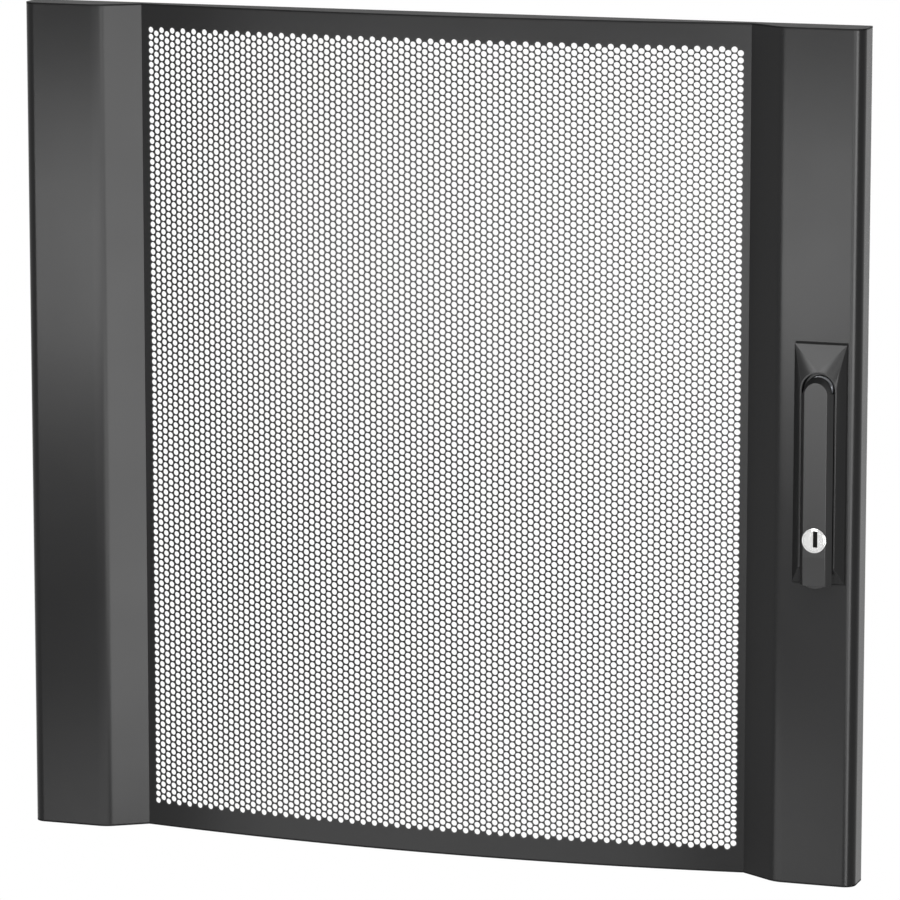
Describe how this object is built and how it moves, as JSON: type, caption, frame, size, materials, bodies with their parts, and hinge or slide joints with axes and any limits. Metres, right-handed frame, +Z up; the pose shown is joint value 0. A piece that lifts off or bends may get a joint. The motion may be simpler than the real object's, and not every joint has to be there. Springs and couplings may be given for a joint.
{
  "type": "perforated rack door",
  "caption": "Bowed perforated steel door for a wall-mounted rack, with lift-off hinge pins and a locking swing handle.",
  "frame": {"origin": "shoulder of the lower hinge pin, on the hinge axis, where the pin leaves its bracket", "axes": "+X across the door to the handle side, +Y to the back of the door, +Z up along the hinge axis"},
  "size_m": [0.6, 0.0514, 0.584],
  "materials": {
    "powder_coat": "dark grey satin powder coat with a fine texture",
    "cast_coat": "dark grey satin powder coat on die-cast zinc",
    "lock_nickel": "pale satin nickel",
    "zinc_plate": "bright zinc plating",
    "rubber": "black rubber"
  },
  "bodies": {
    "door": {"perforated_sheet": "powder_coat", "hinge_stile": "powder_coat", "lock_stile": "powder_coat", "top_plate": "powder_coat", "bottom_plate": "powder_coat", "upper_hinge_bracket": "zinc_plate", "lower_hinge_bracket": "zinc_plate", "upper_hinge_pin": "zinc_plate", "lower_hinge_pin": "zinc_plate", "hinge_weld_studs": "zinc_plate", "hinge_nuts": "zinc_plate", "ground_stud": "zinc_plate", "ground_washer": "zinc_plate", "ground_nut": "zinc_plate", "door_bumpers": "rubber", "handle_housing": "cast_coat", "housing_gasket": "rubber", "housing_clamp_plate": "zinc_plate", "housing_screws": "zinc_plate", "spindle_bush": "zinc_plate"},
    "spindle": {"handle_spindle": "zinc_plate", "spindle_clip": "zinc_plate", "lever_pivot_pin": "zinc_plate", "latch_cam": "zinc_plate", "cam_washer": "zinc_plate", "cam_nut": "zinc_plate"},
    "lever": {"handle_lever": "cast_coat", "lock_body": "lock_nickel"},
    "plug": {"lock_plug": "lock_nickel", "lock_tongue": "zinc_plate"}
  },
  "joints": [
    {"name": "handle_turn", "type": "hinge", "parent": "door", "child": "spindle", "pos_m": [0.5617, -0.0155, 0.28205], "axis": [0, 1, 0], "range_deg": [0, 90]},
    {"name": "lever_lift", "type": "hinge", "parent": "spindle", "child": "lever", "pos_m": [0.5617, -0.0201, 0.28205], "axis": [-1, 0, 0], "range_deg": [0, 25]},
    {"name": "key_turn", "type": "hinge", "parent": "lever", "child": "plug", "pos_m": [0.5617, -0.0255, 0.18105], "axis": [0, 1, 0], "range_deg": [0, 90]}
  ]
}
